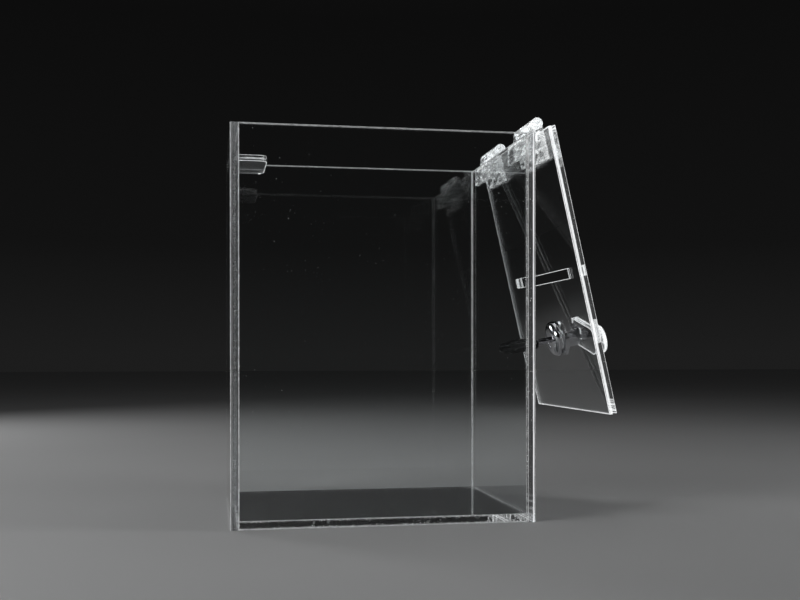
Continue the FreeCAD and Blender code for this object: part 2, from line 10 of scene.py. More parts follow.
import bpy
import bmesh
import json
import math
from mathutils import Matrix, Vector


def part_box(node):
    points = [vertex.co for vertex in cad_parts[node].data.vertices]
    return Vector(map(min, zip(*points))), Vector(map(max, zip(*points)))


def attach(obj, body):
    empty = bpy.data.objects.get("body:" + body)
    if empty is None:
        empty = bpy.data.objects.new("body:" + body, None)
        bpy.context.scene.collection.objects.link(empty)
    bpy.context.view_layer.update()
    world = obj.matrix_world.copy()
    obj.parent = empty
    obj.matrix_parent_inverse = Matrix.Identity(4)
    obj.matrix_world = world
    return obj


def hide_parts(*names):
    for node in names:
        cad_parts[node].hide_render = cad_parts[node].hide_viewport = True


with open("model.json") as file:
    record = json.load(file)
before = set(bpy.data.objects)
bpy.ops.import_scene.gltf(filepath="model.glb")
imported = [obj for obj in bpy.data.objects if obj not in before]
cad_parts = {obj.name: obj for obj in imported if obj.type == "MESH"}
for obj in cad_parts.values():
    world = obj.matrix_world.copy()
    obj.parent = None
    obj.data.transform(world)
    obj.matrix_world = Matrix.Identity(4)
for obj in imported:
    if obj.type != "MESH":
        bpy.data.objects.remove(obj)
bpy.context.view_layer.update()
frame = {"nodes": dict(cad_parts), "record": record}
MM = 0.001
HAIR = 0.001 * MM
scene = bpy.context.scene
print("nodes in the frame:", len(frame["nodes"]))

# %% [markdown]
# ## The camera
#
# The camera stands in front of the box and a little to its left, at a little under half
# the box's height, and looks level, so upright edges stay upright. A lens shift lifts the
# picture instead of a tilt. The view is turned a little to the right, so that the open lid
# is seen from its outer face.

# %% Camera
camera_data = bpy.data.cameras.new("camera")
camera_data.lens = 47.97
camera_data.sensor_width = 36.0
camera_data.shift_y = 0.0698
camera = bpy.data.objects.new("camera", camera_data)
camera.location = (-0.1066, -0.7208, 0.1058)
camera.rotation_euler = (math.radians(89.9), math.radians(0.05), math.radians(-10.08))
scene.collection.objects.link(camera)
scene.camera = camera
print("camera at", tuple(camera.location))

# %% [markdown]
# ## Node trees as Python
#
# A clear material is built from a few masks: where a face is sawn, where dust lies, where
# the solvent ran. Written node by node that would be long, so `Wire` wraps one socket and
# overloads the arithmetic operators: an expression on wires adds its own Math nodes.
# `Tree` is any node tree being built. Its `add` makes a node: the settings first, then
# the values or wires of its sockets.


# %% Wire and Tree
class Wire:
    """One value on its way through a tree."""

    def __init__(self, tree, socket):
        self.tree = tree
        self.socket = socket

    def math(self, operation, *values):
        return self.tree.add("ShaderNodeMath", {"operation": operation}, *values)

    def __add__(self, other):
        return self.math("ADD", self, other)

    def __sub__(self, other):
        return self.math("SUBTRACT", self, other)

    def __rsub__(self, other):
        return self.math("SUBTRACT", other, self)

    def __mul__(self, other):
        return self.math("MULTIPLY", self, other)

    def __truediv__(self, other):
        return self.math("DIVIDE", self, other)

    def __gt__(self, other):
        return self.math("GREATER_THAN", self, other)

    def __lt__(self, other):
        return self.math("LESS_THAN", self, other)

    __radd__ = __add__
    __rmul__ = __mul__


class Tree:
    """A node tree being built."""

    def __init__(self, tree):
        self.tree = tree
        self.tree.nodes.clear()

    def add(self, kind, settings=None, *values, out=0, **named):
        """Make a node: settings first, then its sockets by order or by name."""
        node = self.tree.nodes.new(kind)
        for key, value in (settings or {}).items():
            if key == "stops":
                ramp = node.color_ramp
                while len(ramp.elements) < len(value):
                    ramp.elements.new(1.0)
                for element, (position, level) in zip(ramp.elements, value):
                    element.position = position
                    element.color = (level, level, level, 1)
            else:
                setattr(node, key, value)
        for index, value in enumerate(values):
            self.fill(node.inputs[index], value)
        for key, value in named.items():
            spoken = key.replace("_", " ")
            socket = next(s for s in node.inputs
                          if s.enabled and (key == s.identifier or spoken == s.name))
            self.fill(socket, value)
        if isinstance(out, str):
            socket = next(s for s in node.outputs
                          if s.enabled and out in (s.identifier, s.name))
        else:
            socket = node.outputs[out]
        return Wire(self, socket)

    def fill(self, socket, value):
        for item in value if isinstance(value, list) else [value]:
            if isinstance(item, Wire):
                self.tree.links.new(item.socket, socket)
            else:
                socket.default_value = item


# %% [markdown]
# ## Materials
#
# `Finish` is a tree that makes a material. Its patterns read Object coordinates, so they
# stay where they are on the object whatever the view. Where a pattern has to run along an
# edge, it reads a UV map called `along` instead: U counts metres along the edge, and V
# goes from 0 on the outer side to 1 on the inner one.


# %% Finish
class Finish(Tree):
    """A material being built."""

    def __init__(self, name, tree=None):
        self.material = None
        if tree is None:
            self.material = bpy.data.materials.new(name)
            self.material.use_nodes = True
            tree = self.material.node_tree
        super().__init__(tree)

    def here(self, *scale):
        """Object coordinates, stretched where a scale is given."""
        place = self.add("ShaderNodeTexCoord", out="Object")
        return self.add("ShaderNodeMapping", None, place, Scale=scale) if scale else place

    def noise(self, where, scale, detail=2.0, roughness=0.5):
        return self.add("ShaderNodeTexNoise", None, where, Scale=scale, Detail=detail,
                        Roughness=roughness)

    def ramp(self, value, *stops):
        return self.add("ShaderNodeValToRGB", {"stops": stops}, value)

    def tint(self, amount, first, second):
        """A colour that runs from first to second."""
        return self.add("ShaderNodeMix", {"data_type": "RGBA"}, Factor_Float=amount,
                        A_Color=(*first, 1), B_Color=(*second, 1), out="Result_Color")

    def bump(self, height, strength, distance):
        return self.add("ShaderNodeBump", None, Strength=strength, Distance=distance,
                        Height=height)

    def shader(self, **named):
        return self.add("ShaderNodeBsdfPrincipled", None, **named)

    def mixed(self, amount, first, second):
        return self.add("ShaderNodeMixShader", None, amount, first, second)

    def surface(self, shader, kind="ShaderNodeOutputMaterial"):
        self.add_end(kind, "Surface", shader)
        return self.material

    def add_end(self, kind, name, wire):
        node = self.tree.nodes.new(kind)
        self.fill(node.inputs[name], wire)


# %% [markdown]
# ## Floor, light and surroundings
#
# Clear sheet shows itself by what it bends towards the eye. Lit from all round it would
# vanish, so the light here comes from soft boxes above, to the sides and behind, with
# one more to the lock's left, and the room stays dim at eye level. The floor is plain
# and pale and simply runs on until the light falls off it, and the room is about as dim
# there as the floor, so that the horizon hardly shows.

# %% Floor, light and surroundings
floor_mesh = bmesh.new()
bmesh.ops.create_grid(floor_mesh, x_segments=1, y_segments=1, size=6.0)
bmesh.ops.translate(floor_mesh, vec=(0, 0, -0.2 * MM), verts=floor_mesh.verts)
floor_data = bpy.data.meshes.new("floor")
floor_mesh.to_mesh(floor_data)
floor_mesh.free()
floor = bpy.data.objects.new("floor", floor_data)
scene.collection.objects.link(floor)

paper = Finish("floor_paper")
grain = paper.noise(paper.here(), 3.0)
floor_data.materials.append(paper.surface(paper.shader(
    Base_Color=paper.tint(grain, (0.60, 0.605, 0.61), (0.66, 0.665, 0.67)),
    Roughness=0.7, Specular_IOR_Level=0.2)))

world = bpy.data.worlds.new("studio")
world.use_nodes = True
scene.world = world
room = Finish("studio", world.node_tree)
toward = room.add("ShaderNodeTexCoord", out="Generated")
height = room.add("ShaderNodeSeparateXYZ", None, toward, out="Z")
glow = room.ramp(height, (0.0, 0.012), (0.1, 0.006), (0.3, 0.004), (0.7, 0.010), (1.0, 0.03))
room.surface(room.add("ShaderNodeBackground", None, glow, 1.0), "ShaderNodeOutputWorld")


def softbox(name, place, size, power, aim=(0.02, 0.0, 0.13)):
    """A square area light that looks at the middle of the box."""
    data = bpy.data.lights.new(name, "AREA")
    data.size = size
    data.energy = power
    lamp = bpy.data.objects.new(name, data)
    lamp.location = place
    lamp.rotation_euler = (Vector(aim) - Vector(place)).to_track_quat("-Z", "Y").to_euler()
    lamp.visible_camera = False
    scene.collection.objects.link(lamp)


softbox("over", (0.0, 0.1, 1.0), 0.4, 0.5)
softbox("low", (-1.15, -0.29, 0.34), 0.4, 3.0, (0.13, 0.0, 0.115))
softbox("key", (-0.95, -0.6, 0.5), 0.36, 2.6)
softbox("side", (1.05, -0.35, 0.42), 0.36, 2.4)
softbox("rim", (-0.85, 0.85, 0.45), 0.36, 2.4)
scene.cycles.max_bounces = 24
scene.cycles.transmission_bounces = 20
scene.cycles.transparent_max_bounces = 24
scene.view_settings.view_transform = "Standard"

# %% [markdown]
# ## Clear cast acrylic
#
# The faces of the sheets are glossy and almost perfectly clear, so the base is a
# Principled shader with full transmission and the index of acrylic, 1.49. Two things stop
# it looking like nothing at all: smears, which roughen the gloss a little, and settled
# dust, tiny pale specks that a Voronoi texture scatters.

# %% The faces of a sheet
ACRYLIC = 1.49


def dusty(finish, clear, cell, size):
    """Dust specks over a clear shader: one at most in each Voronoi cell."""
    away = finish.add("ShaderNodeTexVoronoi", None, finish.here(), Scale=1.0 / cell,
                      out="Distance")
    gathered = finish.ramp(finish.noise(finish.here(), 11.0, 2.0), (0.42, 0.1), (0.62, 1.0))
    dust = finish.shader(Base_Color=(0.85, 0.86, 0.87, 1), Roughness=0.9)
    return finish.mixed((away < size / cell) * gathered * 0.7, clear, dust)


DUST_CELL, DUST_SIZE = 5.5 * MM, 0.26 * MM
sheet = Finish("clear_acrylic")
smear = sheet.ramp(sheet.noise(sheet.here(), 14.0, 4.0, 0.6), (0.45, 0.0), (0.7, 1.0))
gloss = sheet.shader(
    Base_Color=sheet.tint(smear, (0.975, 0.99, 0.99), (0.965, 0.98, 0.985)),
    Roughness=smear * 0.012 + 0.002, IOR=ACRYLIC, Transmission_Weight=1.0)
clear_acrylic = sheet.surface(dusty(sheet, gloss, DUST_CELL, DUST_SIZE))
print("made", clear_acrylic.name)

# %% [markdown]
# ## Sawn edges and scraped arrises
#
# A sawn and flamed edge isn't even: part of its width is glazed and clear, and part stays
# hazy, where it glows with the light that runs inside the sheet. That glow is painted
# light: the hazy strips carry an emission, and they stay fixed on the face, where real
# bright lines would move with the eye. Fine streaks follow the saw along the edge. So a
# ramp across V says how hazy, and so how bright, each strip is, and a noise that is drawn
# out along U breaks it up. Four recipes share one function: the box's sawn edges, the
# tongue's glazed ones, the single painted bright line in the hinged wall and the wide one
# in the lid and the cam. The sharp corner lines, the arrises, are scraped and catch light,
# and a painted glow makes them brighter than anything else: they are what draws the box.
# The light that a real sheet gathers and pipes to its edges would take far more bounces
# than a render affords, so an emission called `glow`, a painted light, stands in for it.
# It doesn't follow the lamps: in a darker scene, turn it down.


# %% Sawn edges and arrises
def make_edge(name, glow, depth, *strips):
    """An edge face in hazy and clear strips, streaked along their length; the hazy strips glow
    with painted light.

    The depth is the colour of what shows through the clear strips, a painted shade, darker
    where the eye looks along the whole depth of a sheet.
    """
    finish = Finish(name)
    along = finish.add("ShaderNodeUVMap", {"uv_map": "along"})
    across = finish.add("ShaderNodeSeparateXYZ", None, along, out="Y")
    drawn = finish.add("ShaderNodeMapping", None, along, Scale=(45.0, 7.0, 1.0))
    streak = finish.noise(drawn, 1.0, 5.0, 0.7)
    speck = finish.noise(finish.here(), 650.0, 2.0, 0.6)
    haze_and_glow = (finish.ramp(across, *strips) * finish.ramp(streak, (0.3, 0.45), (0.62, 1.0))
            + finish.ramp(speck, (0.64, 0.0), (0.76, 0.3)))
    dent = finish.bump(streak, 0.2, 0.12 * MM)
    clear = finish.shader(Base_Color=depth, Roughness=streak * 0.03,
                          IOR=ACRYLIC, Transmission_Weight=1.0, Normal=dent)
    # Painted light: the frosted strips glow by their own emission, which no lamp gives them.
    frost_and_glow = finish.shader(Base_Color=(0.93, 0.94, 0.95, 1), Roughness=0.5, Normal=dent,
                          Emission_Color=(0.93, 0.95, 0.96, 1), Emission_Strength=glow)
    return finish.surface(finish.mixed(haze_and_glow, clear, frost_and_glow))


def make_arris(name, glow):
    finish = Finish(name)
    nick = finish.ramp(finish.noise(finish.here(), 420.0, 3.0), (0.3, 0.35), (0.6, 1.0))
    colour = finish.tint(nick, (0.30, 0.31, 0.32), (0.96, 0.97, 0.98))
    # The emission paints a glow on the arris, a light that no lamp gives it; the nicks are the
    # arris's own tone.
    return finish.surface(finish.shader(
        Base_Color=colour, Roughness=0.4, IOR=ACRYLIC, Transmission_Weight=0.2,
        Emission_Color=colour, Emission_Strength=glow))


# The darker colour here is a painted shade for the clear strips of the box's and the right
# wall's edges; the paler one is the sheet's own tint.
DEEP_SHADE, SHALLOW = (0.40, 0.42, 0.43, 1), (0.97, 0.985, 0.985, 1)
# The hazy strips in each ramp glow with painted light: the right wall's edge holds one painted
# bright line, and the lid's and the cam's a wide painted bright band.
sawn_edge = make_edge("sawn_edge", 0.16, DEEP_SHADE, (0.0, 0.34), (0.26, 0.26), (0.32, 0.03),
                      (0.46, 0.03), (0.5, 0.24), (0.55, 0.03), (1.0, 0.07))
glazed_edge = make_edge("glazed_edge", 0.16, SHALLOW, (0.0, 0.1), (0.2, 0.03), (0.85, 0.03),
                        (1.0, 0.1))
lined_edge = make_edge("lined_edge", 0.95, DEEP_SHADE, (0.0, 0.06), (0.16, 0.08), (0.2, 0.9),
                       (0.33, 0.9), (0.38, 0.05), (0.9, 0.03), (1.0, 0.12))
bright_edge = make_edge("bright_edge", 0.95, SHALLOW, (0.0, 0.12), (0.10, 0.18), (0.16, 1.0),
                        (0.40, 1.0), (0.47, 0.06), (0.85, 0.05), (1.0, 0.2))
# Both arrises glow with painted light, the lid's and the cam's far more than the box's.
arris = make_arris("scraped_arris", 0.16)
bright_arris = make_arris("flamed_arris", 0.75)

# %% [markdown]
# ## Welded faces and the bubbles in them
#
# Solvent runs between two sheets and melts them into one, so light passes a weld as if it
# weren't there. In a renderer two glass faces that touch would fight, so both are given a
# finish whose alpha is nearly nothing, with small patches where the solvent missed. The
# bubbles that it leaves along the seams are little white shells with their own finish,
# which also glows a little: a painted light.

# %% Welded faces
weld = Finish("solvent_weld")
missed = weld.noise(weld.here(), 260.0, 3.0) > 0.66
weld_finish = weld.surface(weld.shader(
    Base_Color=(0.93, 0.95, 0.96, 1), Roughness=0.3, Alpha=missed * 0.4 + 0.03))

froth = Finish("weld_bubble")
shade = froth.tint(froth.noise(froth.here(), 300.0), (0.6, 0.62, 0.63), (0.97, 0.98, 0.98))
# The emission paints a glow on the bubbles, a light that no lamp gives them.
bubble_finish = froth.surface(froth.shader(
    Base_Color=shade, Roughness=0.35, Emission_Color=shade, Emission_Strength=0.35))
print("made", [m.name for m in (sawn_edge, glazed_edge, lined_edge, bright_edge, arris,
                                bright_arris, weld_finish, bubble_finish)])

# %% [markdown]
# ## Moulded plastic and metal
#
# The hinges are injection moulded: clear inside, but with a skin that scatters light and
# flow lines drawn out along the pin, so they sparkle white, again with some emission in
# place of gathered light. The lock is chromed and the nuts and washers are zinc-plated,
# which is greyer and softer. The key's bow is black plastic with a fine spark-eroded
# grain. All vary a little over their surface, because a perfectly even metal looks drawn.


# %% Hinge plastic, metals and black plastic
def make_moulded(name):
    finish = Finish(name)
    drawn = finish.noise(finish.here(1.0, 0.35, 1.0), 330.0, 4.0, 0.65)
    flow = finish.ramp(drawn, (0.42, 0.02), (0.52, 0.35), (0.6, 0.95))
    ripple = finish.bump(drawn, 0.8, 0.5 * MM)
    clear = finish.shader(Base_Color=(0.97, 0.985, 0.985, 1), Roughness=flow * 0.2 + 0.02,
                          IOR=1.5, Transmission_Weight=1.0, Normal=ripple)
    skin = finish.shader(Base_Color=(0.93, 0.95, 0.96, 1), Roughness=0.3, Normal=ripple,
                         Emission_Color=(0.93, 0.95, 0.96, 1), Emission_Strength=0.6)
    return finish.surface(finish.mixed(flow, clear, skin))


def make_metal(name, bright, dull, smooth, rough, grain):
    """A plated metal: colour and roughness both follow one soft noise."""
    finish = Finish(name)
    cloud = finish.ramp(finish.noise(finish.here(), 180.0, 4.0, 0.6), (0.35, 0.0), (0.75, 1.0))
    fine = finish.noise(finish.here(), 2600.0, 2.0)
    return finish.surface(finish.shader(
        Base_Color=finish.tint(cloud, bright, dull), Metallic=1.0,
        Roughness=cloud * (rough - smooth) + smooth,
        Normal=finish.bump(fine, grain, 0.02 * MM)))


def make_black(name):
    finish = Finish(name)
    cloud = finish.noise(finish.here(), 160.0, 3.0)
    spark = finish.noise(finish.here(), 3200.0, 2.0)
    return finish.surface(finish.shader(
        Base_Color=finish.tint(cloud, (0.010, 0.010, 0.011), (0.020, 0.020, 0.022)),
        Roughness=cloud * 0.2 + 0.18, Normal=finish.bump(spark, 0.5, 0.03 * MM)))


moulded = make_moulded("moulded_hinge")
chrome = make_metal("chrome_plate", (0.74, 0.74, 0.76), (0.55, 0.55, 0.58), 0.03, 0.12, 0.05)
zinc = make_metal("zinc_plate", (0.50, 0.50, 0.52), (0.26, 0.26, 0.28), 0.14, 0.32, 0.25)
brass = make_metal("brass_plate", (0.80, 0.62, 0.30), (0.62, 0.46, 0.20), 0.20, 0.40, 0.20)
black = make_black("black_bow")
print("made", [m.name for m in (moulded, chrome, zinc, brass, black)])

# %% [markdown]
# ## From CAD solids to finished pieces
#
# The frame's meshes are exact but razor sharp, and glass with razor-sharp edges has no
# highlights. So each piece is drawn again from its CAD solid, and the new mesh stands for
# the CAD node. These helpers read a node in the space where it is easiest to think about,
# such as the shut lid's, and `settle` carries the finished mesh back to its place.

# %% Helpers that read a node and settle a piece
BODY = {node: body for body, nodes in frame["record"]["behaviour"]["bodies"].items()
        for node in nodes}
STAY = Matrix.Identity(4)


def merged_copy(node, back=STAY):
    """The node's triangles joined up and its flat regions dissolved."""
    mesh = bmesh.new()
    mesh.from_mesh(frame["nodes"][node].data)
    bmesh.ops.remove_doubles(mesh, verts=mesh.verts, dist=0.002 * MM)
    bmesh.ops.dissolve_limit(mesh, angle_limit=math.radians(0.3), verts=mesh.verts,
                             edges=mesh.edges)
    bmesh.ops.transform(mesh, matrix=back.inverted(), verts=mesh.verts)
    return mesh


def box_in(node, back=STAY):
    """The node's box, measured in the space that the matrix carries from."""
    inverse = back.inverted()
    points = [inverse @ v.co for v in frame["nodes"][node].data.vertices]
    return (Vector(map(min, zip(*points))), Vector(map(max, zip(*points))))


def chamfer(mesh, width, finish, sharper=25.0, steps=1):
    """Bevel the sharp edges; the new faces take one of the piece's finishes."""
    edges = [e for e in mesh.edges if len(e.link_faces) == 2
             and e.calc_face_angle(0.0) > math.radians(sharper)]
    bmesh.ops.bevel(mesh, geom=edges, offset=width, offset_type="OFFSET", segments=steps,
                    profile=0.5, affect="EDGES", clamp_overlap=True, material=finish)


def settle(mesh, name, finishes, node, back=STAY, smooth=None):
    """Carry a mesh to its place and make it the piece that stands for a CAD node."""
    bmesh.ops.transform(mesh, matrix=back, verts=mesh.verts)
    data = bpy.data.meshes.new(name)
    mesh.to_mesh(data)
    mesh.free()
    for finish in finishes:
        data.materials.append(finish)
    if smooth:
        data.shade_smooth()
        data.set_sharp_from_angle(angle=math.radians(smooth))
    made = bpy.data.objects.new(name, data)
    scene.collection.objects.link(made)
    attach(made, BODY[node])
    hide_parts(node)
    print(f"{name}: {len(data.polygons)} faces")
    return made


# %% [markdown]
# ## Where the lid and the lock stand
#
# The lid is easiest to think about shut, lying flat on the walls. The frame's joints say
# where the hinge pin is and which way the lock's axis points now that the lid hangs open,
# and from these comes one matrix, `opened`, that carries a shut lid to its open place.
# `lock` starts on the lid's outer face, with Z out along the lock, and `plug` also turns
# with the key.

# %% The matrices of the lid and the lock
joints = {joint["name"]: joint for joint in frame["record"]["behaviour"]["joints"]}
hinge = Vector(joints["lid_hinge"]["pos_m"])
inward = Vector(joints["lock_turn"]["axis"])
lid_turn = math.atan2(-inward.x, -inward.z)
opened = (Matrix.Translation(hinge) @ Matrix.Rotation(lid_turn, 4, "Y")
          @ Matrix.Translation(-hinge))
lock_foot = opened.inverted() @ Vector(joints["lock_turn"]["pos_m"])
lock = opened @ Matrix.Translation(lock_foot)
key_turn = math.radians(joints["lock_turn"]["range_deg"][0])
plug = lock @ Matrix.Rotation(key_turn, 4, "Z")
lid_high = box_in("lid_panel", opened)[1]
print("lid turned", round(math.degrees(lid_turn) % 360, 2), "deg; lock at",
      [round(c / MM, 2) for c in lock_foot])

# %% [markdown]
# ## Cutting a sheet
#
# A sheet is an outline with a thickness, with its arrises scraped off at 45 degrees. The
# outline is read from the CAD solid's flat face. Its loops keep the material on their
# left, holes too, so moving every corner to the left gives the narrower loops of the top
# and the bottom. A profile says how far in and how deep each row of points lies: two rows
# make a scraped arris, and more make a moulded rim. A bevel on the CAD mesh itself would
# be shorter, but round holes leave it slivers that bend the light.


# %% Cut a sheet from its outline
def outline_loops(node, back, axis):
    """The loops of corners round the flat top of a sheet, seen along an axis."""
    mesh = merged_copy(node, back)
    top = max(v.co[axis] for v in mesh.verts) - 0.01 * MM
    flat = {f for f in mesh.faces if f.calc_center_median()[axis] > top}
    after = {loop.vert: loop.link_loop_next.vert for f in flat for loop in f.loops
             if sum(near in flat for near in loop.edge.link_faces) == 1}
    across, up = (axis + 1) % 3, (axis + 2) % 3
    loops = []
    while after:
        corner = next(iter(after))
        loops.append([])
        while corner in after:
            loops[-1].append(Vector((corner.co[across], corner.co[up])))
            corner = after.pop(corner)
    mesh.free()
    return loops


def moved_left(loop, by):
    """Every corner moved so that both its sides go left by the same distance."""
    moved = []
    for before, corner, after in zip(loop[-1:] + loop[:-1], loop, loop[1:] + loop[:1]):
        first, second = (corner - before).normalized(), (after - corner).normalized()
        left = (first + second).orthogonal().normalized()
        moved.append(corner + left * by / left.dot(first.orthogonal()))
    return moved


def cut_sheet(node, back, axis, profile):
    """A closed sheet; the profile gives each row's (inset, depth) from edge to cap."""
    low, high = box_in(node, back)
    levels = ([(inset, low[axis] + depth) for inset, depth in reversed(profile)]
              + [(inset, high[axis] - depth) for inset, depth in profile])
    mesh = bmesh.new()
    rims = ([], [])
    for loop in outline_loops(node, back, axis):
        rows = []
        for inset, level in levels:
            rows.append([])
            for point in moved_left(loop, inset):
                place = Vector((level, level, level))
                place[(axis + 1) % 3], place[(axis + 2) % 3] = point
                rows[-1].append(mesh.verts.new(place))
        pairs = [(i, (i + 1) % len(loop)) for i in range(len(loop))]
        for lower, upper in zip(rows, rows[1:]):
            for i, j in pairs:
                mesh.faces.new((lower[i], lower[j], upper[j], upper[i]))
        for rim, row in zip(rims, (rows[0], rows[-1])):
            rim += [mesh.edges.get((row[i], row[j])) for i, j in pairs]
    for rim in rims:
        bmesh.ops.triangle_fill(mesh, use_beauty=True, use_dissolve=False, edges=rim)
    bmesh.ops.recalc_face_normals(mesh, faces=mesh.faces)
    return mesh


# %% [markdown]
# ## The sheets
#
# Every sheet gets the same treatment: scraped arrises, a sawn finish on the thin faces,
# clear broad faces, and a weld wherever another part is bonded to it. Which face is which
# follows from its direction and from which neighbour's box its middle lies in, so the
# mesh is first sliced along the borders of those boxes.

# %% Make the sheets
ARRIS = 0.32 * MM
SCRAPED = ((0.0, ARRIS), (ARRIS, 0.0))
CLEAR, EDGE_LINE, SAWN, WELD = range(4)
BROAD, THIN = 0.95, 0.3    # how far a face may lean and still be broad or thin


def slice_at(mesh, axis, at):
    normal = Vector((0, 0, 0))
    normal[axis] = 1
    bmesh.ops.bisect_plane(mesh, geom=mesh.verts[:] + mesh.edges[:] + mesh.faces[:],
                           dist=HAIR, plane_co=normal * at, plane_no=normal)


def touches(face, boxes, reach=0.03 * MM):
    middle = face.calc_center_median()
    return any(all(low[k] - reach < middle[k] < high[k] + reach for k in range(3))
               for low, high in boxes)


def lay_along(mesh, axis, outer, thick):
    """The map that runs along each edge in metres and across it from its outer side."""
    layer = mesh.loops.layers.uv.new("along")
    thin = Vector((0, 0, 0))
    thin[axis] = 1
    for face in mesh.faces:
        run = face.normal.cross(thin)
        for loop in face.loops:
            place = loop.vert.co
            loop[layer].uv = (place.dot(run), abs(place[axis] - outer) / thick)


def make_sheet(node, neighbours=(), back=STAY, edge=sawn_edge, lines=arris, thin=None):
    """One sheet: cut, sliced at its neighbours' borders, then a finish for each face."""
    low, high = box_in(node, back)
    size = high - low
    axis = min(range(3), key=lambda k: size[k]) if thin is None else thin
    mesh = cut_sheet(node, back, axis, SCRAPED)
    for face in mesh.faces:
        level = abs(face.normal[axis])
        face.material_index = CLEAR if level > BROAD else SAWN if level < THIN else EDGE_LINE
    boxes = [box_in(other, back) for other in neighbours]
    for k in range(3):
        for at in {round(box[end][k], 6) for box in boxes for end in (0, 1)}:
            if low[k] + 2 * ARRIS < at < high[k] - 2 * ARRIS:
                slice_at(mesh, k, at)
    for face in mesh.faces:
        if face.material_index != EDGE_LINE and touches(face, boxes):
            face.material_index = WELD
    outer = low[axis] if low[axis] + high[axis] < 0 else high[axis]
    lay_along(mesh, axis, outer, size[axis])
    return settle(mesh, node + "_sheet", (clear_acrylic, lines, edge, weld_finish), node,
                  back)


ENDS = ("left_panel", "right_panel")
FACES = ("front_panel", "back_panel")
WALL_LEAVES = ("front_hinge_wall_leaf", "rear_hinge_wall_leaf")
LID_LEAVES = ("front_hinge_lid_leaf", "rear_hinge_lid_leaf")
make_sheet("left_panel", (*FACES, "base_panel", "latch_keeper"))
make_sheet("right_panel", (*FACES, "base_panel", *WALL_LEAVES), edge=lined_edge)
make_sheet("front_panel", (*ENDS, "base_panel"))
make_sheet("back_panel", (*ENDS, "base_panel"))
make_sheet("base_panel", (*ENDS, *FACES))
make_sheet("latch_keeper", ("left_panel",), edge=glazed_edge, lines=bright_arris)
make_sheet("lid_panel", LID_LEAVES, opened, bright_edge, bright_arris)
make_sheet("lock_cam", (), plug, bright_edge, bright_arris, thin=2)

# %% [markdown]
# ## Geometry Nodes for what repeats
#
# Three things here repeat or follow a path: the bubbles along the welds, the teeth of the
# lock washer and the wound wire of the spring washer. `Recipe` is a tree with named
# inputs. It ends in Realize Instances and Set Material, and `grow` runs it on a mesh and
# returns a plain mesh.


# %% Recipe
class Recipe(Tree):
    """A Geometry Nodes tree with named inputs."""

    def __init__(self, name, **inputs):
        super().__init__(bpy.data.node_groups.new(name, "GeometryNodeTree"))
        sides = self.tree.interface
        sides.new_socket("Geometry", in_out="OUTPUT", socket_type="NodeSocketGeometry")
        sides.new_socket("Geometry", in_out="INPUT", socket_type="NodeSocketGeometry")
        for key, kind in inputs.items():
            sides.new_socket(key, in_out="INPUT", socket_type="NodeSocket" + kind)
        start = self.tree.nodes.new("NodeGroupInput")
        self.take = {s.name: Wire(self, s) for s in start.outputs if s.name}

    def vector(self, x=0.0, y=0.0, z=0.0):
        return self.add("ShaderNodeCombineXYZ", None, x, y, z)

    def done(self, geometry, finish):
        real = self.add("GeometryNodeRealizeInstances", None, geometry)
        painted = self.add("GeometryNodeSetMaterial", None, real, Material=finish)
        end = self.tree.nodes.new("NodeGroupOutput")
        self.fill(end.inputs["Geometry"], painted)
        return self

    def grow(self, base, **values):
        """Run the tree on a mesh and return what it makes as a bmesh."""
        holder = bpy.data.objects.new(self.tree.name, base)
        scene.collection.objects.link(holder)
        modifier = holder.modifiers.new(self.tree.name, "NODES")
        modifier.node_group = self.tree
        for item in self.tree.interface.items_tree:
            if item.in_out == "INPUT" and item.name in values:
                modifier[item.identifier] = values[item.name]
        grown = holder.evaluated_get(bpy.context.evaluated_depsgraph_get())
        data = bpy.data.meshes.new_from_object(grown)
        holder.modifiers.remove(modifier)
        bpy.data.objects.remove(holder)
        mesh = bmesh.new()
        mesh.from_mesh(data)
        return mesh


# %% [markdown]
# ## Bubbles along the welds
#
# Solvent welds are never perfect. Small bubbles and dried drops line the borders of each
# seam, and in a clear box they are the only sign that there is a seam. The recipe walks
# along the borders, drops a point every so often, loses a random share of them, nudges
# the rest and puts a small ball on each.

# %% Make the bubbles
bubbling = Recipe("bubbles_along_seams", Spacing="Float", Spread="Float", Smallest="Float",
                  Largest="Float", Share="Float", Seed="Int")
take = bubbling.take
run = bubbling.add("GeometryNodeMeshToCurve", None, take["Geometry"])
drops = bubbling.add("GeometryNodeCurveToPoints", {"mode": "LENGTH"}, run,
                     Length=take["Spacing"])
lost = bubbling.add("FunctionNodeRandomValue", {"data_type": "BOOLEAN"}, Seed=take["Seed"],
                    Probability=1.0 - take["Share"], out="Value")
kept = bubbling.add("GeometryNodeDeleteGeometry", {"domain": "POINT"}, drops, lost)
side = take["Spread"] * -1.0
nudge = bubbling.add("FunctionNodeRandomValue", {"data_type": "FLOAT_VECTOR"},
                     Seed=take["Seed"], Min=bubbling.vector(side, side, side),
                     Max=bubbling.vector(*[take["Spread"]] * 3), out="Value")
moved = bubbling.add("GeometryNodeSetPosition", None, kept, Offset=nudge)
ball = bubbling.add("GeometryNodeMeshIcoSphere", None, 1.0, 1)
grade = bubbling.add("FunctionNodeRandomValue", {"data_type": "FLOAT"}, Seed=take["Seed"] + 1,
                     Min=take["Smallest"], Max=take["Largest"], out="Value")
bubbling.done(bubbling.add("GeometryNodeInstanceOnPoints", None, moved, Instance=ball,
                           Scale=grade), bubble_finish)

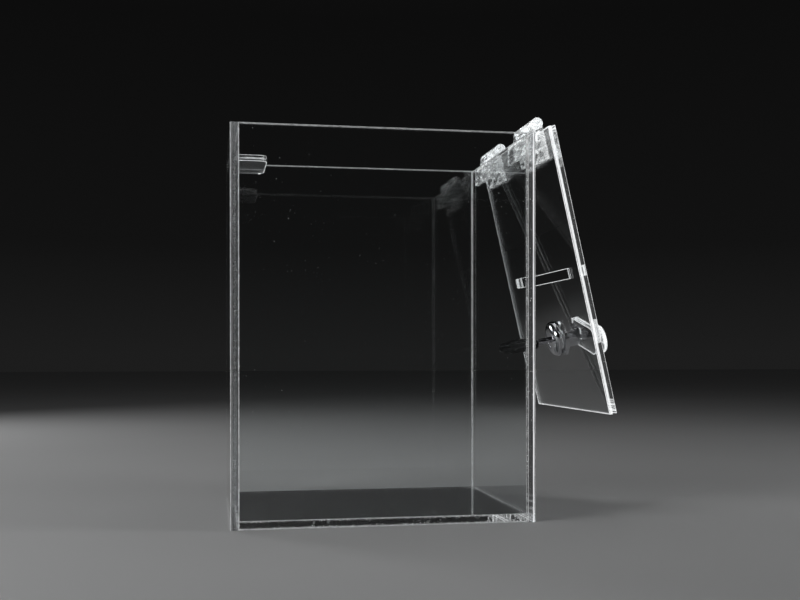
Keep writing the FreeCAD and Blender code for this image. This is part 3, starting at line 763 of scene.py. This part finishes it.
front_low, front_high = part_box("front_panel")
base_low, base_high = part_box("base_panel")
SKIN = 0.75 * MM    # keeps every bubble inside the sheets
seam_lines = []
for x in (base_low.x, base_high.x):
    for y in (front_low.y + SKIN, front_high.y, -front_high.y, -front_low.y - SKIN):
        seam_lines.append(((x, y, front_low.z + SKIN), (x, y, front_high.z - SKIN)))
for z in (base_low.z + SKIN, base_high.z - SKIN):
    for x in (base_low.x, base_high.x):
        seam_lines.append(((x, base_low.y, z), (x, base_high.y, z)))
    for y in (base_low.y, base_high.y):
        seam_lines.append(((base_low.x, y, z), (base_high.x, y, z)))
borders = bpy.data.meshes.new("seam_borders")
borders.from_pydata([point for line in seam_lines for point in line],
                    [(2 * i, 2 * i + 1) for i in range(len(seam_lines))], [])
froth_mesh = bubbling.grow(borders, Spacing=1.2 * MM, Spread=0.3 * MM, Smallest=0.08 * MM,
                           Largest=0.42 * MM, Share=0.6, Seed=7)
froth_data = bpy.data.meshes.new("weld_bubbles")
froth_mesh.to_mesh(froth_data)
froth_mesh.free()
froth_data.materials.append(bubble_finish)
bubbles = bpy.data.objects.new("weld_bubbles", froth_data)
scene.collection.objects.link(bubbles)
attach(bubbles, "box")
print("weld_bubbles:", len(froth_data.polygons), "faces on", len(seam_lines), "borders")

# %% [markdown]
# ## The hinges
#
# Each hinge is two moulded leaves and a pin. A moulding has soft edges all over, so the
# bevel here has two steps, and its rounded rims take an arris's finish, with a painted
# glow. The face that is bonded to the sheet takes the weld's finish. The pin's ends are
# domed a little, as a cut pin's are after tumbling.

# %% Make the hinges
# The rims' emission is a painted glow, a light that no lamp gives them.
rim_light = make_arris("moulded_rim", 0.7)
LEAF_ROUND, PIN_ROUND, PIN_FIT = 0.35 * MM, 0.3 * MM, 0.96


def make_hinge_leaf(node, back, bonded_axis, bonded_at):
    mesh = merged_copy(node, back)
    chamfer(mesh, LEAF_ROUND, 2, sharper=50.0, steps=2)
    for face in mesh.faces:
        if abs(face.calc_center_median()[bonded_axis] - bonded_at) < 0.01 * MM:
            face.material_index = 1
    settle(mesh, node.replace("_hinge_", "_moulded_"), (moulded, weld_finish, rim_light),
           node, back, smooth=40)


def make_pin(node):
    """The pin a hair thinner than its bore, so that their faces don't coincide."""
    mesh = merged_copy(node)
    low, high = box_in(node)
    middle = (low + high) / 2
    for vert in mesh.verts:
        vert.co.x = middle.x + (vert.co.x - middle.x) * PIN_FIT
        vert.co.z = middle.z + (vert.co.z - middle.z) * PIN_FIT
    chamfer(mesh, PIN_ROUND, 0, sharper=50.0, steps=2)
    settle(mesh, node + "_rod", (moulded,), node, smooth=40)


for side_name in ("front", "rear"):
    make_hinge_leaf(f"{side_name}_hinge_wall_leaf", STAY, 0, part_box("right_panel")[1].x)
    make_hinge_leaf(f"{side_name}_hinge_lid_leaf", opened, 2, lid_high.z)
    make_pin(f"{side_name}_hinge_pin")

# %% [markdown]
# ## Turned parts
#
# The lock's housing and both nuts are turned parts with something added: a thread that
# winds round, flats, six sides. All are rings of points stacked into a closed skin. A
# ring is a function of the angle, which gives a radius and a height, so that one helper
# makes the dome, the helical thread and a nut's chamfered corners.


# %% Turn a part from rings
def turned(mesh, rings, steps, start=0.0):
    """Skin a closed stack of rings; each ring gives (radius, height) for an angle."""
    rows = []
    for ring in rings:
        row = []
        for step in range(steps):
            angle = start + 2 * math.pi * step / steps
            radius, level = ring(angle)
            row.append(mesh.verts.new((radius * math.cos(angle), radius * math.sin(angle),
                                       level)))
        rows.append(row)
    for row, following in zip(rows, rows[1:] + rows[:1]):
        for i in range(steps):
            mesh.faces.new((row[i], row[(i + 1) % steps], following[(i + 1) % steps],
                            following[i]))


def circle(radius, level):
    return lambda angle: (radius, level)


def finish_turned(mesh):
    bmesh.ops.remove_doubles(mesh, verts=mesh.verts, dist=0.004 * MM)
    bmesh.ops.dissolve_degenerate(mesh, edges=mesh.edges, dist=0.002 * MM)
    bmesh.ops.recalc_face_normals(mesh, faces=mesh.faces)


# %% [markdown]
# ## The lock's housing
#
# The head is a shallow dome with a thin lip and a groove round its foot, and the plug's
# face sits in a recess. Below the lid is the threaded body. Its thread is one real helix:
# the radius dips with the angle as well as with the height. Holding every point's depth
# within the flats then mills both of them.

# %% Make the housing
head_low, head_high = box_in("lock_housing", lock)
HEAD, RISE = head_high.x, head_high.z
LUG = 1.0 * MM
body_end = head_low.z + LUG
DOME_TOP, LIP, GROOVE = 6.7 * MM, 0.6 * MM, 0.35 * MM
BORE, RECESS, RECESS_FLOOR = 5.05 * MM, 6.05 * MM, RISE - 1.6 * MM
BODY_RADIUS, FLAT, PITCH, DEPTH = 8.0 * MM, 6.75 * MM, 1.25 * MM, 0.6 * MM
THREAD_ROWS, DOME_ROWS, ROUND, THREAD_STEEP = 8, 14, 96, 2.2


def thread_ring(level):
    """A ring of the threaded body: the groove's depth follows the helix."""
    def ring(angle):
        turn = (level / PITCH - angle / (2 * math.pi)) % 1.0
        fade = min(1.0, (level - body_end) / PITCH, -level / PITCH)
        dip = max(0.0, 1.0 - abs(turn - 0.5) * THREAD_STEEP)
        return BODY_RADIUS - DEPTH * dip * max(0.0, fade), level
    return ring


dome = [circle(DOME_TOP + (HEAD - GROOVE - DOME_TOP) * math.cos(t),
               LIP + GROOVE + (RISE - LIP - GROOVE) * math.sin(t))
        for t in [math.pi / 2 * k / DOME_ROWS for k in range(DOME_ROWS + 1)]]
rows_of_thread = int(-body_end / PITCH * THREAD_ROWS)
shank = [thread_ring(body_end * k / rows_of_thread) for k in range(rows_of_thread + 1)]
housing = bmesh.new()
turned(housing, [circle(BORE, body_end), circle(BORE, RECESS_FLOOR),
                 circle(RECESS, RECESS_FLOOR), circle(RECESS, RISE - 0.25 * MM),
                 circle(RECESS + 0.25 * MM, RISE), *reversed(dome),
                 circle(HEAD - GROOVE, LIP), circle(HEAD - 0.1 * MM, LIP),
                 circle(HEAD, LIP - 0.1 * MM), circle(HEAD, 0.1 * MM),
                 circle(HEAD - 0.1 * MM, 0.0), *shank], ROUND)
for vert in housing.verts:
    if vert.co.z < -0.01 * MM:
        vert.co.y = max(-FLAT, min(FLAT, vert.co.y))
finish_turned(housing)
lugs = merged_copy("lock_housing", lock)
bmesh.ops.bisect_plane(lugs, geom=lugs.verts[:] + lugs.edges[:] + lugs.faces[:],
                       dist=HAIR, plane_co=(0, 0, body_end), plane_no=(0, 0, 1),
                       clear_outer=True)
bmesh.ops.holes_fill(lugs, edges=lugs.edges)
lug_data = bpy.data.meshes.new("lugs")
lugs.to_mesh(lug_data)
lugs.free()
housing.from_mesh(lug_data)
for face in housing.faces:
    face.material_index = 0 if face.calc_center_median().z > -0.01 * MM else 1
settle(housing, "lock_barrel", (chrome, zinc), "lock_housing", lock, smooth=28)

# %% [markdown]
# ## Nuts
#
# A nut's corners are cut back by a cone, which leaves the curved bright line that the eye
# knows as a nut. Between the flats and the cone the corner's height follows from the
# radius: a corner that reaches further out is cut further down.


# %% Make the nuts
CONE_START, CONE_ANGLE, NUT_RELIEF, NUT_STEPS = 0.955, math.radians(30), 0.3 * MM, 72


def make_nut(node, name, back):
    low, high = box_in(node, back)
    outer, bore = sorted(outline_loops(node, back, 2), key=len)
    reach, hole = outer[0].length, bore[0].length
    half = reach * math.cos(math.pi / 6)
    start = math.atan2(outer[0].y, outer[0].x)
    cone, slope, relief = half * CONE_START, math.tan(CONE_ANGLE), NUT_RELIEF

    def side(level, downwards):
        def ring(angle):
            turn = (angle - start) % (math.pi / 3) - math.pi / 6
            radius = half / math.cos(turn)
            return radius, level + downwards * (radius - cone) * slope
        return ring

    mesh = bmesh.new()
    turned(mesh, [circle(hole, low.z + relief), circle(hole + relief, low.z),
                  circle(cone, low.z), side(low.z, 1), side(high.z, -1),
                  circle(cone, high.z), circle(hole + relief, high.z),
                  circle(hole, high.z - relief)], NUT_STEPS, start)
    finish_turned(mesh)
    settle(mesh, name, (zinc,), node, back, smooth=25)


make_nut("lock_nut", "clamp_nut", lock)
make_nut("cam_nut", "stud_nut", plug)

# %% [markdown]
# ## The toothed washer and the spring washer
#
# The large washer bites with twisted teeth all round, so its recipe sets one tilted tooth
# on every point of a circle. The small one is a square wire wound not quite once round,
# with its ends a little apart: a spiral with a square profile.

# %% Make the washers
toothing = Recipe("toothed_ring", Radius="Float", Width="Float", Thick="Float", Teeth="Int",
                  Twist="Float")
take = toothing.take
ring_line = toothing.add("GeometryNodeCurvePrimitiveCircle", None, 64,
                         Radius=take["Radius"])
flat_bar = toothing.add("GeometryNodeCurvePrimitiveQuadrilateral", None,
                        Width=take["Width"], Height=take["Thick"] * 0.55)
ring_body = toothing.add("GeometryNodeCurveToMesh", None, ring_line, flat_bar)
posts = toothing.add("GeometryNodeMeshCircle", None, take["Teeth"],
                     take["Radius"] + take["Width"] * 0.55)
tooth = toothing.add("GeometryNodeMeshCube", None,
                     toothing.vector(take["Width"], take["Width"] * 0.9,
                                     take["Thick"] * 0.45))
outward = toothing.add("GeometryNodeInputPosition")
facing = toothing.add("FunctionNodeAlignRotationToVector", {"axis": "X"}, Vector=outward)
tilted = toothing.add("FunctionNodeRotateRotation", {"rotation_space": "LOCAL"}, facing,
                      toothing.add("FunctionNodeAxisAngleToRotation", None,
                                   (1.0, 0.0, 0.0), take["Twist"]))
teeth = toothing.add("GeometryNodeInstanceOnPoints", None, posts, Instance=tooth,
                     Rotation=tilted)
toothing.done(toothing.add("GeometryNodeJoinGeometry", None, [ring_body, teeth]), zinc)

winding = Recipe("wound_ring", Radius="Float", Width="Float", Thick="Float", Rise="Float")
take = winding.take
wire_line = winding.add("GeometryNodeCurveSpiral", None, 56, 0.97, take["Radius"],
                        take["Radius"], take["Rise"])
square = winding.add("GeometryNodeCurvePrimitiveQuadrilateral", None, Width=take["Width"],
                     Height=take["Thick"])
winding.done(winding.add("GeometryNodeCurveToMesh", None, wire_line, square,
                         Fill_Caps=True), zinc)


def lay_ring(mesh, node, name, back):
    """Centre a ring's thickness in its CAD washer and settle it."""
    low, high = box_in(node, back)
    made = [v.co.z for v in mesh.verts]
    lift = (low.z + high.z - min(made) - max(made)) / 2
    bmesh.ops.translate(mesh, vec=(0, 0, lift), verts=mesh.verts)
    bmesh.ops.recalc_face_normals(mesh, faces=mesh.faces)
    settle(mesh, name, (zinc,), node, back)


spot = bpy.data.meshes.new("spot")
tooth_low, tooth_high = box_in("lock_washer", lock)
lay_ring(toothing.grow(spot, Radius=9.3 * MM, Width=1.3 * MM, Teeth=22,
                       Thick=tooth_high.z - tooth_low.z, Twist=math.radians(16)),
         "lock_washer", "toothed_washer", lock)
ring_high = box_in("cam_spring_washer", plug)[1]
lay_ring(winding.grow(spot, Radius=ring_high.x - 1.3 * MM, Width=2.4 * MM,
                      Thick=0.58 * MM, Rise=0.16 * MM),
         "cam_spring_washer", "split_washer", plug)

# %% [markdown]
# ## The key
#
# The bow is moulded in one shot over the blade's root: a rounded plate with a raised rim
# round each face and a hole for a ring. Its outline is cut as a sheet is, but its profile
# rolls over the edge, runs level for the rim and then drops to the sunk face. The blade
# keeps its CAD shape, grooves and all, with its edges eased.


# %% Make the key
# The flat face whose outline is read lies 0.8 mm inside the bow's rounded edge.
KEY_ROUND = 0.12 * MM
RIM = ((-0.8, 0.8), (-0.7, 0.4), (-0.5, 0.15), (-0.2, 0.0), (0.2, 0.0), (0.3, 0.08),
       (0.55, 0.4))
bow = cut_sheet("key_bow", plug, 0, [(inset * MM, depth * MM) for inset, depth in RIM])
settle(bow, "key_grip", (black,), "key_bow", plug, smooth=40)
blade = merged_copy("key_blade", plug)
chamfer(blade, KEY_ROUND, 0)
settle(blade, "key_steel", (zinc,), "key_blade", plug)

# %% [markdown]
# ## What stays as CAD made it
#
# The plug, its wafers and the stop washer are exact milled and stamped shapes already, so
# those CAD meshes stay and only take a finish.

# %% Finish the parts that stay
for node, finish in (("lock_plug", chrome), ("lock_wafers", brass),
                     ("cam_stop_washer", zinc)):
    data = frame["nodes"][node].data
    data.materials.clear()
    data.materials.append(finish)
    data.shade_smooth()
    data.set_sharp_from_angle(angle=math.radians(30))
    print(f"{node}: keeps its CAD shape, in {finish.name}")
